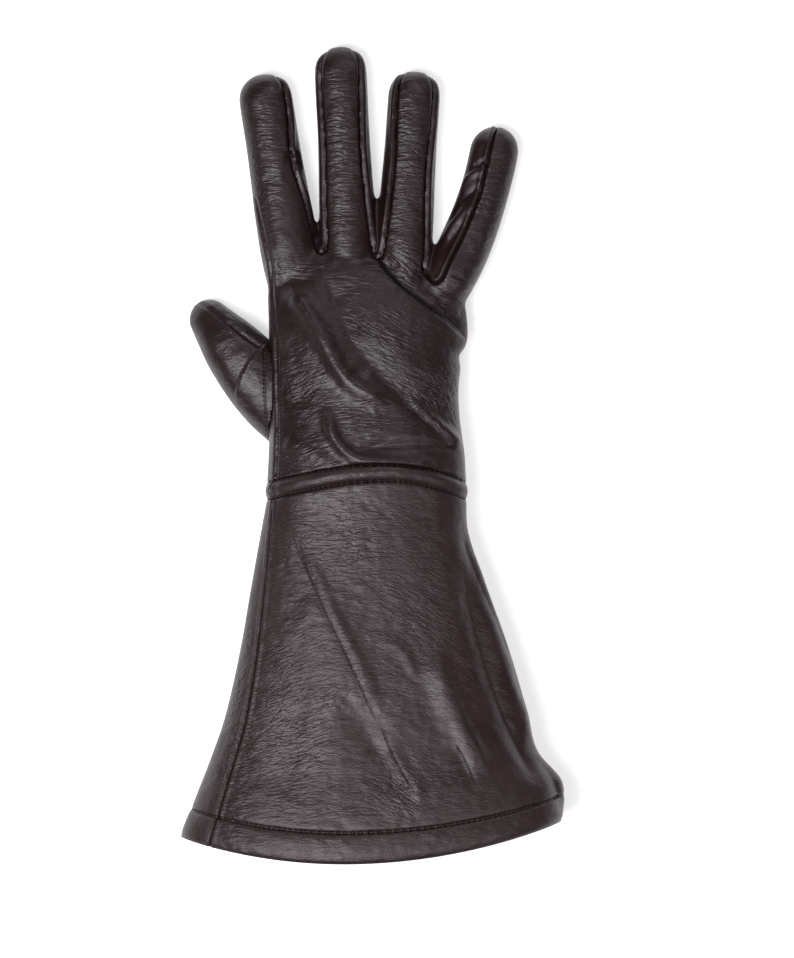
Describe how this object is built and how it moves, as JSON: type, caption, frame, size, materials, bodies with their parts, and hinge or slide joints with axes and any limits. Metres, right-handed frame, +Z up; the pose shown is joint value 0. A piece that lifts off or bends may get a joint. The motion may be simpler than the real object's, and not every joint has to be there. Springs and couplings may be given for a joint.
{
  "type": "gauntlet glove",
  "caption": "Dark brown leather gauntlet glove for a right hand, lying on its palm, with strips between its fingers, a puffed wrist band and a long flared cuff.",
  "frame": {"origin": "under the middle of the glove's outline, on the surface it lies on", "axes": "+Y towards the fingertips, +X towards the little finger, +Z up out of the back of the hand"},
  "size_m": [0.1728, 0.367, 0.0641],
  "materials": {
    "glove_leather": "satin",
    "cuff_leather": "satin"
  },
  "bodies": {
    "root": {"trank": "glove_leather", "fourchette_index": "glove_leather", "fourchette_middle_radial": "glove_leather", "fourchette_middle_ulnar": "glove_leather", "fourchette_ring_radial": "glove_leather", "fourchette_ring_ulnar": "glove_leather", "fourchette_little": "glove_leather", "thumb": "glove_leather", "wrist_band": "cuff_leather", "cuff": "cuff_leather"}
  },
  "joints": []
}
